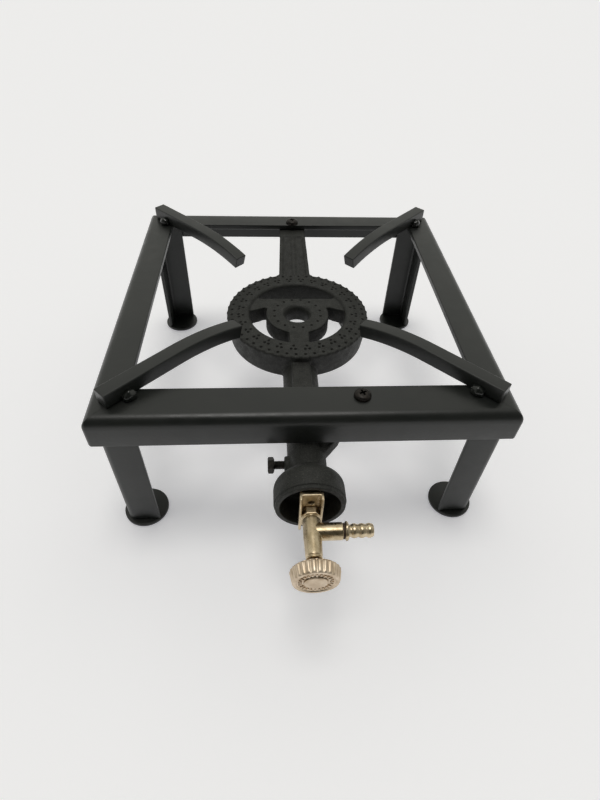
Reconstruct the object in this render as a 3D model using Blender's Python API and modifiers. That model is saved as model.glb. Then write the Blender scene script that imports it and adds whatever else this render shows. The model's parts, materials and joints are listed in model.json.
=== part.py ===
"""Propane burner stand: a welded square frame on four legs, with a cast ring burner and a gas valve.

Metres, +Z up. The floor is Z = 0 and the valve points to -Y. The parts are placed from the centre of
the square frame, and that centre stands behind the origin, so that the origin is the middle of the
whole object, valve and all.
"""

import math

import bmesh
import bpy
from mathutils import Matrix, Vector

MM = 0.001
GAP = 0.3 * MM  # between pieces that touch or are welded

# Frame: folded angle rails, mitred at the corners
FRAME = 290 * MM
RAIL_TOP = 126 * MM
RAIL_FLANGE = 25.5 * MM
FRONT_RAIL_FLANGE = 30.5 * MM
RAIL_DROP = 24 * MM
RAIL_WALL = 5 * MM
RAIL_BEND = 8 * MM
CORNER_RADIUS = 3 * MM

# Legs: angle iron inside the frame's corners, each welded to a round foot
LEG_FLANGE = 25 * MM
LEG_WALL = 3 * MM
LEG_BEND = 5 * MM
FOOT_RADIUS = 17.5 * MM
FOOT_HEIGHT = 3 * MM
FOOT_OFFSET = 127.5 * MM

# Pot supports: square bars on the diagonals, bent down towards the burner
BAR = 11 * MM
BAR_OUTER = 189 * MM
BAR_BEND_START = 128 * MM
BAR_INNER = 68 * MM
BAR_BEND_RADIUS = 200 * MM
BAR_EDGE = 0.8 * MM
BAR_CENTRE_Y = 3.3 * MM  # the four bars' lines meet a little behind the frame's centre
BEAD_RADIUS = 4.4 * MM
BEAD_DISTANCE = 172 * MM

# Burner casting
BURNER_Y = -2.6 * MM
RING_TOP = 107.3 * MM
RING_HEIGHT = 23 * MM
RING_OUTER = 60.8 * MM
RING_OUTER_LOW = 58.3 * MM
RING_INNER = 41.5 * MM
RING_WALL = 4 * MM
HUB_TOP = RING_TOP - 1.4 * MM
HUB_HEIGHT = 14.5 * MM
HUB_RADIUS = 27.2 * MM
HUB_REAR = 22.3 * MM  # the hub is cut straight here
HUB_HOLE = 10.6 * MM
EAR_FRONT = 8.7 * MM
BRIDGE_WIDTH = 16.5 * MM
PORT_RADIUS = 1.2 * MM
PORT_ROWS = (  # distance from the burner's centre, number of groups, and each group's ports in degrees
    (56.6 * MM, 48, (0,)),
    (50.8 * MM, 28, (-2, 2)),
    (47.2 * MM, 28, (0,)),
    (20.3 * MM, 16, (0,)),
)

# Mixing tube and bell, on one axis along -Y
AXIS_Z = 87 * MM
TUBE_RADIUS = 13.4 * MM
TUBE_ROOT_RADIUS = 14 * MM
TUBE_BORE = 9.5 * MM
TUBE_START = 43 * MM
BELL_START = 160 * MM
BELL_MOUTH = 186 * MM
BELL_RADIUS = 23.6 * MM
BELL_LIP_RADIUS = 22.4 * MM
BELL_BORE = 19.8 * MM
THROAT_START = 161 * MM
THROAT_END = 171.5 * MM

# Arms that hold the casting under the frame, and their M6 screws
ARM_TOP = RAIL_TOP - RAIL_WALL - GAP
ARM_THICKNESS = 6 * MM
SCREW_Y = 124.5 * MM
FRONT_SCREW_X = 37.5 * MM
M6_RADIUS = 3 * MM
M6_HOLE = 3.4 * MM
SCREW_HEAD_RADIUS = 6 * MM
SCREW_HEAD_HEIGHT = 3.6 * MM
WASHER_RADIUS = 6.2 * MM
WASHER_HEIGHT = 1.2 * MM
NUT_ACROSS_FLATS = 10 * MM
NUT_HEIGHT = 5 * MM

# Clamp bolt through the neck's boss
CLAMP_Y = 151.5 * MM
BOSS_RADIUS = 5.8 * MM
BOSS_END = 15.6 * MM
CLAMP_HEAD_START = 22.8 * MM
CLAMP_HEAD_HEIGHT = 4.2 * MM
CLAMP_TIP = 9.5 * MM

# Brass yoke that carries the valve in the bell
SPIGOT_RADIUS = 9.2 * MM
SPIGOT_BORE = 7 * MM
SPIGOT_START = 143 * MM
SPIGOT_END = 165 * MM
STRAP_WIDTH = 15 * MM
STRAP_HALF_HEIGHT = 17.6 * MM
STRAP_BACK = 185.6 * MM
STRAP_WEB_FRONT = 188 * MM
STRAP_FRONT = 191.4 * MM
STRAP_FLANGE = 1.7 * MM
YOKE_ARM_WIDTH = 11 * MM
YOKE_ARM_THICKNESS = 2.4 * MM

# Gas valve, in distances forward of the frame's centre
NOSE_RADIUS = 3.2 * MM
NOSE_START = 180.5 * MM
VALVE_HEX_FLATS = 10.8 * MM
VALVE_HEX_END = 193 * MM
VALVE_BODY_START = 194.5 * MM
VALVE_BODY_END = 221.5 * MM
VALVE_BODY_RADIUS = 5.6 * MM
VALVE_TAIL_RADIUS = 4.9 * MM
VALVE_BORE = 2.7 * MM
GAS_WAY = 1.2 * MM
INLET_Y = 203 * MM
INLET_RADIUS = 5.4 * MM
INLET_END = 18.8 * MM
INLET_BORE = 3.3 * MM
BARB_WASHER_HEIGHT = 0.8 * MM
BARB_COLLAR_HEIGHT = 2.2 * MM
BARB_RADIUS = 4.6 * MM
BARB_ROOT = 3.9 * MM
BARB_BORE = 2.2 * MM
BARB_END = 38 * MM
JET_TIP = 172 * MM
JET_FLATS = 9 * MM
SPINDLE_TIP = 196.5 * MM
SPINDLE_RADIUS = 1.9 * MM
O_RING_START = 212 * MM
O_RING_END = 214.5 * MM
KNOB_BACK = 227 * MM
KNOB_FRONT = 235.6 * MM
KNOB_RADIUS = 15.2 * MM
KNOB_FACE_RADIUS = 13.6 * MM
KNOB_FLUTES = 24
KNOB_FLUTE_RADIUS = 1.2 * MM
KNOB_SCREW_RADIUS = 6.6 * MM
KNOB_SCREW_RISE = 1.2 * MM

FORWARD = (math.pi / 2, 0, 0)  # turns local +Z to -Y
LEFTWARD = (0, -math.pi / 2, 0)  # turns local +Z to -X
RIGHTWARD = (0, math.pi / 2, 0)  # turns local +Z to +X

for existing in list(bpy.data.objects):
    bpy.data.objects.remove(existing)

PARTS = bpy.data.collections.new("propane_burner_stand")
TOOLS = bpy.data.collections.new("construction")
TOOLS.hide_render = True
for collection in (PARTS, TOOLS):
    bpy.context.scene.collection.children.link(collection)

STAND = bpy.data.objects.new("frame_centre", None)
STAND.location.y = (KNOB_FRONT + KNOB_SCREW_RISE - FRAME / 2) / 2
PARTS.objects.link(STAND)


def material(name, colour, roughness, metallic):
    made = bpy.data.materials.new(name)
    made.use_nodes = True
    shader = made.node_tree.nodes["Principled BSDF"]
    shader.inputs["Base Color"].default_value = (*colour, 1)
    shader.inputs["Roughness"].default_value = roughness
    shader.inputs["Metallic"].default_value = metallic
    return made


def add(name, mesh_or_bmesh, finish=None, location=(0, 0, 0), rotation=(0, 0, 0)):
    """Makes an object: a part when it has a finish, and otherwise a construction body for a Boolean."""
    if isinstance(mesh_or_bmesh, bmesh.types.BMesh):
        bmesh.ops.recalc_face_normals(mesh_or_bmesh, faces=mesh_or_bmesh.faces)
        mesh = bpy.data.meshes.new(name)
        mesh_or_bmesh.to_mesh(mesh)
        mesh_or_bmesh.free()
    else:
        mesh = mesh_or_bmesh
    made = bpy.data.objects.new(name, mesh)
    made.parent = STAND
    made.location = location
    made.rotation_euler = rotation
    if finish:
        mesh.materials.append(material(f"{name}_{finish[0]}", *finish[1:]))
        PARTS.objects.link(made)
    else:
        made.hide_render = True
        made.display_type = "WIRE"
        TOOLS.objects.link(made)
    return made


PAINT = ("black_paint", (0.035, 0.037, 0.036), 0.45, 0.2)
CAST_IRON = ("cast_iron", (0.03, 0.03, 0.027), 0.75, 0.4)
DARK_STEEL = ("dark_steel", (0.09, 0.085, 0.08), 0.45, 0.9)
BRASS = ("brass", (0.55, 0.42, 0.24), 0.3, 1.0)
NICKEL = ("nickel_brass", (0.68, 0.6, 0.5), 0.32, 1.0)
FIBRE = ("fibre", (0.3, 0.07, 0.04), 0.8, 0.0)
NITRILE = ("nitrile", (0.02, 0.02, 0.02), 0.6, 0.0)


def box(low, high):
    """A bmesh box between two corners."""
    mesh = bmesh.new()
    low, high = Vector(low), Vector(high)
    size = Matrix.Diagonal((*(high - low), 1))
    bmesh.ops.create_cube(mesh, size=1, matrix=Matrix.Translation((low + high) / 2) @ size)
    return mesh


def rod(radius, low, high, segments=24, top_radius=None):
    """A bmesh cylinder or cone on the local Z axis."""
    mesh = bmesh.new()
    bmesh.ops.create_cone(
        mesh,
        cap_ends=True,
        segments=segments,
        radius1=radius,
        radius2=radius if top_radius is None else top_radius,
        depth=high - low,
        matrix=Matrix.Translation((0, 0, (low + high) / 2)),
    )
    return mesh


def hexagon(across_flats, low, high):
    return rod(across_flats / math.sqrt(3), low, high, segments=6)


def arc(centre, radius, start, end, steps):
    """Points of an arc, with its angles in degrees."""
    angles = [math.radians(start + (end - start) * i / steps) for i in range(steps + 1)]
    return [(centre[0] + radius * math.cos(a), centre[1] + radius * math.sin(a)) for a in angles]


def extruded(outline, depth):
    """A bmesh prism: the outline lies in XY and the prism rises from Z = 0."""
    mesh = bmesh.new()
    face = mesh.faces.new([mesh.verts.new((x, y, 0)) for x, y in outline])
    grown = bmesh.ops.extrude_face_region(mesh, geom=[face])
    raised = [item for item in grown["geom"] if isinstance(item, bmesh.types.BMVert)]
    bmesh.ops.translate(mesh, verts=raised, vec=(0, 0, depth))
    return mesh


def turned(name, profile, finish=None, location=(0, 0, 0), rotation=(0, 0, 0), steps=32, ring=False):
    """A Screw modifier turns a profile of (radius, height). Its outer side runs from top to bottom."""
    mesh = bpy.data.meshes.new(name)
    edges = [(i, i + 1) for i in range(len(profile) - 1)]
    if ring:
        edges.append((len(profile) - 1, 0))
    mesh.from_pydata([(radius, 0, height) for radius, height in profile], edges, [])
    made = add(name, mesh, finish, location, rotation)
    screw = made.modifiers.new("Turn", "SCREW")
    screw.steps = screw.render_steps = steps
    screw.use_merge_vertices = True
    screw.merge_threshold = 0.00001
    screw.use_smooth_shade = False
    return made


def boolean(target, tool, operation):
    modifier = target.modifiers.new(f"{operation.title()} {tool.name}", "BOOLEAN")
    modifier.operation = operation
    modifier.solver = "EXACT"
    modifier.object = tool


def cut(target, *tools):
    for tool in tools:
        boolean(target, tool, "DIFFERENCE")


def join(target, *tools):
    for tool in tools:
        boolean(target, tool, "UNION")


def bevel(target, width, segments=1):
    modifier = target.modifiers.new("Edges", "BEVEL")
    modifier.width = width
    modifier.segments = segments
    modifier.limit_method = "ANGLE"
    modifier.angle_limit = math.radians(40)


def angle_section(flange, drop, wall, bend, steps):
    """An L section with its heel at the origin: one flange along +X, the other along -Y."""
    inner = max(bend - wall, 0.6 * MM)
    points = [(flange, -wall), (flange, 0)]
    points += arc((bend, -bend), bend, 90, 180, steps)
    points += [(0, -drop), (wall, -drop)]
    points += arc((wall + inner, -wall - inner), inner, 180, 90, steps)
    return points


def frame_rails():
    half = FRAME / 2
    rounded = add("frame_corner_limit", box((-half, -half, 0), (half, half, 2 * RAIL_TOP)))
    corner = rounded.modifiers.new("Corners", "BEVEL")
    corner.width = CORNER_RADIUS
    corner.segments = 4
    corner.limit_method = "WEIGHT"
    upright = rounded.data.attributes.new("bevel_weight_edge", "FLOAT", "EDGE")
    for edge in rounded.data.edges:
        ends = [rounded.data.vertices[i].co for i in edge.vertices]
        upright.data[edge.index].value = float(abs(ends[0].z - ends[1].z) > RAIL_TOP)

    # Section X is inward and section Y is up, so the prism's length runs along the rail.
    stand_up = Matrix(((0, 0, 1, -half), (1, 0, 0, -half), (0, 1, 0, RAIL_TOP), (0, 0, 0, 1)))
    for i, name in enumerate(("front_rail", "right_rail", "back_rail", "left_rail")):
        flange = FRONT_RAIL_FLANGE if name == "front_rail" else RAIL_FLANGE
        mesh = extruded(angle_section(flange, RAIL_DROP, RAIL_WALL, RAIL_BEND, 5), FRAME)
        bmesh.ops.transform(mesh, matrix=stand_up, verts=mesh.verts)
        for side in (-1, 1):
            # The mitre runs from the corner towards the centre, half a gap back from the diagonal.
            bmesh.ops.bisect_plane(
                mesh,
                geom=mesh.verts[:] + mesh.edges[:] + mesh.faces[:],
                plane_co=(0, -GAP / math.sqrt(2), 0),
                plane_no=(side, 1, 0),
                clear_outer=True,
            )
            ends = [edge for edge in mesh.edges if edge.is_boundary]
            bmesh.ops.holes_fill(mesh, edges=ends)
        rail = add(name, mesh, PAINT, rotation=(0, 0, i * math.pi / 2))
        boolean(rail, rounded, "INTERSECT")


def legs_and_feet():
    outer = FRAME / 2 - RAIL_WALL - GAP
    top = RAIL_TOP - RAIL_BEND - GAP  # under the inside of the rail's fold
    section = angle_section(LEG_FLANGE, LEG_FLANGE, LEG_WALL, LEG_BEND, 4)
    for i, side in enumerate(("front_left", "front_right", "back_right", "back_left")):
        turn = Matrix.Rotation(i * math.pi / 2, 4, "Z")
        mesh = extruded(section, top - FOOT_HEIGHT - GAP)
        # The heel points out of the corner: the section's -Y flange turns to lie along +Y.
        bmesh.ops.scale(mesh, vec=(1, -1, 1), verts=mesh.verts)
        place = turn @ Vector((-outer, -outer, FOOT_HEIGHT + GAP))
        add(f"{side}_leg", mesh, PAINT, place, (0, 0, i * math.pi / 2))
        place = turn @ Vector((-FOOT_OFFSET, -FOOT_OFFSET, 0))
        add(f"{side}_foot", rod(FOOT_RADIUS, 0, FOOT_HEIGHT, 32), PAINT, place)


def bar_outline():
    """The bar from the side: distance from the centre against height, with the bottom on the rail."""
    run = BAR_BEND_START - BAR_INNER
    angle = math.degrees(math.asin(run / BAR_BEND_RADIUS))
    top = arc((BAR_BEND_START, BAR - BAR_BEND_RADIUS), BAR_BEND_RADIUS, 90, 90 + angle, 7)
    low = arc((BAR_BEND_START, BAR - BAR_BEND_RADIUS), BAR_BEND_RADIUS - BAR, 90 + angle, 90, 7)
    return [(BAR_OUTER, 0), (BAR_OUTER, BAR), *top, *low]


def pot_supports():
    height = RAIL_TOP + GAP
    for i, side in enumerate(("front_left", "front_right", "back_right", "back_left")):
        mesh = extruded(bar_outline(), BAR)
        # Outline X is along the bar and outline Y is up.
        stand_up = Matrix(((1, 0, 0, 0), (0, 0, -1, BAR / 2), (0, 1, 0, height), (0, 0, 0, 1)))
        bmesh.ops.transform(mesh, matrix=stand_up, verts=mesh.verts)
        turn = math.radians(225 + 90 * i)
        place = (0, BAR_CENTRE_Y, 0)
        bar = add(f"{side}_pot_support", mesh, PAINT, place, (0, 0, turn))
        bevel(bar, BAR_EDGE)
        for hand in (-1, 1):
            bead = bmesh.new()
            bmesh.ops.create_uvsphere(bead, u_segments=10, v_segments=6, radius=BEAD_RADIUS)
            bmesh.ops.translate(
                bead, verts=bead.verts, vec=(BEAD_DISTANCE, hand * (BAR / 2 + 1.5 * MM), height + 1.9 * MM)
            )
            bmesh.ops.bisect_plane(
                bead,
                geom=bead.verts[:] + bead.edges[:] + bead.faces[:],
                plane_co=(0, 0, height),
                plane_no=(0, 0, -1),
                clear_outer=True,
            )
            bmesh.ops.holes_fill(bead, edges=[edge for edge in bead.edges if edge.is_boundary])
            join(bar, add(f"{side}_weld_bead_{hand + 1}", bead, location=place, rotation=(0, 0, turn)))


def hull(*bodies):
    """One convex bmesh around several."""
    mesh = bmesh.new()
    for body in bodies:
        for vert in body.verts:
            mesh.verts.new(vert.co)
        body.free()
    bmesh.ops.convex_hull(mesh, input=mesh.verts)
    bmesh.ops.dissolve_limit(mesh, angle_limit=math.radians(0.5), verts=mesh.verts, edges=mesh.edges)
    return mesh


def burner_casting():
    centre = (0, BURNER_Y, 0)
    ring_low = RING_TOP - RING_HEIGHT
    casting = turned(
        "burner_casting",
        [
            (RING_INNER + 1 * MM, RING_TOP),
            (RING_OUTER - 1.2 * MM, RING_TOP),
            (RING_OUTER, RING_TOP - 1.2 * MM),
            (RING_OUTER_LOW, ring_low),
            (RING_INNER, ring_low),
            (RING_INNER, RING_TOP - 1 * MM),
        ],
        CAST_IRON,
        centre,
        steps=60,
        ring=True,
    )
    hub_low = HUB_TOP - HUB_HEIGHT
    hub = add("hub_body", rod(HUB_RADIUS, hub_low, HUB_TOP, 40), location=centre)
    reach = RING_INNER + 2 * MM
    beyond = box((-reach, HUB_REAR, hub_low - 5 * MM), (reach, reach, HUB_TOP + 5 * MM))
    cut(hub, add("hub_rear", beyond, location=centre))
    ears = add(
        "hub_ears",
        box((-reach, EAR_FRONT, hub_low + 0.4 * MM), (reach, HUB_REAR - 0.3 * MM, HUB_TOP - 0.2 * MM)),
        location=centre,
    )
    bridge = add(
        "hub_bridge",
        box((-BRIDGE_WIDTH / 2, -reach, hub_low + 0.2 * MM), (BRIDGE_WIDTH / 2, -20 * MM, HUB_TOP - 0.1 * MM)),
        location=centre,
    )
    join(casting, hub, ears, bridge, mixing_tube(), clamp_boss(), front_lug(), rear_arm())

    cut(casting, gas_passage(), ring_channel(), hub_channel(), burner_ports())
    holes = (
        add("hub_hole", rod(HUB_HOLE, hub_low - 5 * MM, RING_TOP + 5 * MM, 28), location=centre),
        add("front_screw_hole", rod(M6_HOLE, 90 * MM, 130 * MM), location=(FRONT_SCREW_X, -SCREW_Y, 0)),
        add("rear_screw_hole", rod(M6_HOLE, 90 * MM, 130 * MM), location=(0, SCREW_Y, 0)),
        add(
            "clamp_hole",
            rod(M6_HOLE, 6 * MM, 20 * MM),
            location=(0, -CLAMP_Y, AXIS_Z),
            rotation=LEFTWARD,
        ),
    )
    cut(casting, *holes)


def mixing_tube():
    """The tube's taper from the ring to the neck, then the bell's rounded shoulder and stepped lip."""
    shoulder = arc(
        (TUBE_RADIUS + 1 * MM, BELL_START + 13 * MM), BELL_RADIUS - TUBE_RADIUS - 1 * MM, 0, -75, 6
    )
    return turned(
        "mixing_tube_body",
        [
            (0, BELL_MOUTH),
            (BELL_LIP_RADIUS, BELL_MOUTH),
            (BELL_LIP_RADIUS, BELL_MOUTH - 2 * MM),
            (BELL_RADIUS, BELL_MOUTH - 2.6 * MM),
            *shoulder,
            (TUBE_RADIUS, BELL_START),
            (TUBE_RADIUS, 110 * MM),
            (TUBE_ROOT_RADIUS, 74 * MM),
            (TUBE_ROOT_RADIUS, TUBE_START),
            (0, TUBE_START),
        ],
        location=(0, 0, AXIS_Z),
        rotation=FORWARD,
        steps=36,
    )


def clamp_boss():
    return add(
        "clamp_boss",
        rod(BOSS_RADIUS + 0.8 * MM, 9 * MM, BOSS_END, 24, BOSS_RADIUS),
        location=(0, -CLAMP_Y, AXIS_Z),
        rotation=LEFTWARD,
    )


def front_lug():
    """A pad under the front rail at the screw, and the web that ties it to the tube's side."""
    low, edge = ARM_TOP - ARM_THICKNESS, FRONT_SCREW_X - 6.5 * MM
    pad = box(
        (edge - 3 * MM, -SCREW_Y - 9 * MM, low),
        (FRONT_SCREW_X + 8.5 * MM, -SCREW_Y + 7 * MM, ARM_TOP),
    )
    top = (edge - 5 * MM, -SCREW_Y - 8.8 * MM, low + 0.2 * MM), (edge, -SCREW_Y + 6.8 * MM, ARM_TOP - 0.2 * MM)
    # The web passes under the rail's edge before it rises to the pad.
    middle = (20 * MM, -SCREW_Y - 15 * MM, 91 * MM), (22 * MM, -SCREW_Y + 5 * MM, 100.5 * MM)
    root = (6 * MM, -SCREW_Y - 25 * MM, AXIS_Z - 5 * MM), (9 * MM, -SCREW_Y + 2 * MM, AXIS_Z + 6 * MM)
    lug = add("front_lug", pad)
    join(lug, add("front_lug_web", hull(box(*top), box(*middle))))
    join(lug, add("front_lug_root", hull(box(*middle), box(*root))))
    return lug


def rear_arm():
    """A flat arm that rises from the ring to the pad under the back rail."""
    ring_end = 49 * MM
    pad_start = 108 * MM
    pad_end = SCREW_Y + 11 * MM
    low = RING_TOP - 1.7 * MM
    outline = [(ring_end, low - ARM_THICKNESS), (pad_start, ARM_TOP - ARM_THICKNESS)]
    outline += [(pad_end, ARM_TOP - ARM_THICKNESS), (pad_end, ARM_TOP)]
    outline += [(pad_start, ARM_TOP), (ring_end, low)]
    mesh = extruded(outline, 1)
    wide, narrow = 14.8 * MM, 12.6 * MM
    for vert in mesh.verts:
        share = min(max((vert.co.x - ring_end) / (pad_start - ring_end), 0), 1)
        half = wide + (narrow - wide) * share
        vert.co = ((2 * vert.co.z - 1) * half, vert.co.x, vert.co.y)
    return add("rear_arm", mesh)


def gas_passage():
    return turned(
        "gas_passage",
        [
            (0, BELL_MOUTH + 5 * MM),
            (BELL_BORE, BELL_MOUTH + 5 * MM),
            (BELL_BORE, THROAT_END),
            (TUBE_BORE, THROAT_START),
            (TUBE_BORE, 53 * MM),
            (0, 53 * MM),
        ],
        location=(0, 0, AXIS_Z),
        rotation=FORWARD,
        steps=32,
    )


def ring_channel():
    low = RING_TOP - RING_HEIGHT + RING_WALL
    high = RING_TOP - RING_WALL
    return turned(
        "ring_channel",
        [
            (RING_INNER + 2.6 * MM, high),
            (RING_OUTER - RING_WALL + 2 * MM, high),
            (RING_OUTER_LOW - RING_WALL + 1 * MM, low),
            (RING_INNER + 2.6 * MM, low),
        ],
        location=(0, BURNER_Y, 0),
        steps=48,
        ring=True,
    )


def hub_channel():
    """The hub's gas chamber and its feed through the bridge."""
    low, high = HUB_TOP - HUB_HEIGHT + 3 * MM, HUB_TOP - 3 * MM
    chamber = turned(
        "hub_channel",
        [(HUB_HOLE + 3 * MM, high), (HUB_RADIUS - 3 * MM, high), (HUB_RADIUS - 3 * MM, low), (HUB_HOLE + 3 * MM, low)],
        location=(0, BURNER_Y, 0),
        steps=32,
        ring=True,
    )
    rear_wall = box((-HUB_RADIUS, HUB_REAR - 2.9 * MM, low - 1 * MM), (HUB_RADIUS, HUB_RADIUS, high + 1 * MM))
    cut(chamber, add("hub_rear_wall", rear_wall, location=(0, BURNER_Y, 0)))
    feed = box((-5 * MM, -47 * MM, low + 0.6 * MM), (5 * MM, -18 * MM, high - 0.6 * MM))
    join(chamber, add("hub_feed", feed, location=(0, BURNER_Y, 0)))
    return chamber


def burner_ports():
    """All the flame ports, as one cutter made of separate pins."""
    mesh = bmesh.new()
    for distance, groups, ports in PORT_ROWS:
        for i in range(groups * len(ports)):
            degrees = 360 * (i // len(ports) + 0.5) / groups + ports[i % len(ports)]
            spin = Matrix.Rotation(math.radians(degrees), 4, "Z")
            bmesh.ops.create_cone(
                mesh,
                cap_ends=True,
                segments=4,
                radius1=PORT_RADIUS,
                radius2=PORT_RADIUS,
                depth=10 * MM,
                matrix=spin @ Matrix.Translation((distance, 0, RING_TOP)),
            )
    return add("burner_ports", mesh, location=(0, BURNER_Y, 0))


def cross_recess(name, height, depth, arm, place):
    """A Phillips recess: two crossed slots."""
    slot = box((-arm, -0.6 * MM, height - depth), (arm, 0.6 * MM, height + 1 * MM))
    other = box((-0.6 * MM, -arm, height - depth), (0.6 * MM, arm, height + 1 * MM))
    first = add(f"{name}_slot", slot, location=place)
    join(first, add(f"{name}_cross_slot", other, location=place))
    return first


def frame_screw(prefix, x, y, arm_low):
    """An M6 pan head screw down through the rail and the casting, with its washer and nut below."""
    place = (x, y, 0)
    head_low = RAIL_TOP + GAP
    tip = arm_low - 10.5 * MM
    head = arc((0, head_low), SCREW_HEAD_RADIUS, 35, 0, 3)
    squash = SCREW_HEAD_HEIGHT / (SCREW_HEAD_RADIUS * math.sin(math.radians(35)))
    profile = [(0, head_low + SCREW_HEAD_HEIGHT)]
    profile += [(radius, head_low + (height - head_low) * squash) for radius, height in head]
    profile += [(M6_RADIUS, head_low), (M6_RADIUS, tip + 1 * MM), (M6_RADIUS - 0.8 * MM, tip), (0, tip)]
    screw = turned(f"{prefix}_screw", profile, DARK_STEEL, place, steps=24)
    cut(screw, cross_recess(prefix, head_low + SCREW_HEAD_HEIGHT, 2 * MM, 2.6 * MM, place))
    washer_top = arm_low - GAP
    washer_low = washer_top - WASHER_HEIGHT
    turned(
        f"{prefix}_washer",
        [
            (M6_HOLE, washer_top),
            (WASHER_RADIUS, washer_top),
            (WASHER_RADIUS, washer_low),
            (M6_HOLE, washer_low),
        ],
        DARK_STEEL,
        place,
        steps=24,
        ring=True,
    )
    nut_top = washer_low - GAP
    nut = add(f"{prefix}_nut", hexagon(NUT_ACROSS_FLATS, nut_top - NUT_HEIGHT, nut_top), DARK_STEEL, place)
    cut(nut, add(f"{prefix}_nut_bore", rod(M6_HOLE, nut_top - 10 * MM, nut_top + 5 * MM), location=place))


def drill_rails():
    for rail, x, y in (("front_rail", FRONT_SCREW_X, -SCREW_Y), ("back_rail", 0, SCREW_Y)):
        hole = rod(M6_HOLE, RAIL_TOP - 10 * MM, RAIL_TOP + 5 * MM)
        cut(bpy.data.objects[rail], add(f"{rail}_hole", hole, location=(x, y, 0)))


def clamp_bolt():
    bolt = add(
        "clamp_bolt",
        hexagon(NUT_ACROSS_FLATS, CLAMP_HEAD_START, CLAMP_HEAD_START + CLAMP_HEAD_HEIGHT),
        DARK_STEEL,
        (0, -CLAMP_Y, AXIS_Z),
        LEFTWARD,
    )
    shank = rod(M6_RADIUS, CLAMP_TIP, CLAMP_HEAD_START + 1 * MM)
    join(bolt, add("clamp_shank", shank, location=(0, -CLAMP_Y, AXIS_Z), rotation=LEFTWARD))


def valve_yoke():
    """One brass piece: a spigot in the neck, two arms, and a channel strap across the bell's mouth."""
    centre = (0, 0, AXIS_Z)
    half = STRAP_WIDTH / 2
    yoke = add(
        "valve_yoke",
        box((-half, -STRAP_FRONT, -STRAP_HALF_HEIGHT), (half, -STRAP_BACK, STRAP_HALF_HEIGHT)),
        BRASS,
        centre,
    )
    inner = half - STRAP_FLANGE
    tall = STRAP_HALF_HEIGHT + 5 * MM
    cut(
        yoke,
        add("strap_channel", box((-inner, -STRAP_FRONT - 5 * MM, -tall), (inner, -STRAP_WEB_FRONT, tall)), location=centre),
    )
    spigot = rod(SPIGOT_RADIUS, SPIGOT_START, SPIGOT_END, 28)
    join(yoke, *[yoke_arm(side) for side in (-1, 1)])
    join(yoke, add("spigot", spigot, location=centre, rotation=FORWARD))
    bore = rod(SPIGOT_BORE, SPIGOT_START - 5 * MM, SPIGOT_END + 3 * MM, 24)
    hole = rod(NOSE_RADIUS + GAP, STRAP_BACK - 5 * MM, STRAP_FRONT + 5 * MM)
    cut(yoke, add("spigot_bore", bore, location=centre, rotation=FORWARD))
    cut(yoke, add("strap_hole", hole, location=centre, rotation=FORWARD))


def yoke_arm(side):
    half = YOKE_ARM_WIDTH / 2
    rear = side * (SPIGOT_RADIUS - YOKE_ARM_THICKNESS / 2 - 1 * MM)
    front = side * (STRAP_HALF_HEIGHT - YOKE_ARM_THICKNESS / 2 - 1 * MM)
    slab = YOKE_ARM_THICKNESS / 2
    ends = (
        box((-half, -SPIGOT_END + 0.4 * MM, rear - slab), (half, -SPIGOT_END + 1.4 * MM, rear + slab)),
        box((-half, -STRAP_BACK - 0.6 * MM, front - slab), (half, -STRAP_BACK + 1.4 * MM, front + slab)),
    )
    return add(f"yoke_arm_{side + 1}", hull(*ends), location=(0, 0, AXIS_Z))


def gas_jet():
    """A hexagon nut with a nozzle, screwed on the valve's nose behind the strap."""
    centre = (0, 0, AXIS_Z)
    shoulder = STRAP_BACK - GAP
    jet = add("gas_jet", hexagon(JET_FLATS, shoulder - 8 * MM, shoulder), BRASS, centre, FORWARD)
    nozzle = rod(1.6 * MM, JET_TIP, shoulder - 7 * MM, 20, 3.6 * MM)
    join(jet, add("jet_nozzle", nozzle, location=centre, rotation=FORWARD))
    thread = rod(NOSE_RADIUS + GAP, NOSE_START - GAP, shoulder + 3 * MM, 20)
    orifice = rod(0.5 * MM, JET_TIP - 3 * MM, NOSE_START + 1 * MM, 8)
    cut(jet, add("jet_thread", thread, location=centre, rotation=FORWARD))
    cut(jet, add("jet_orifice", orifice, location=centre, rotation=FORWARD))


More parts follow.
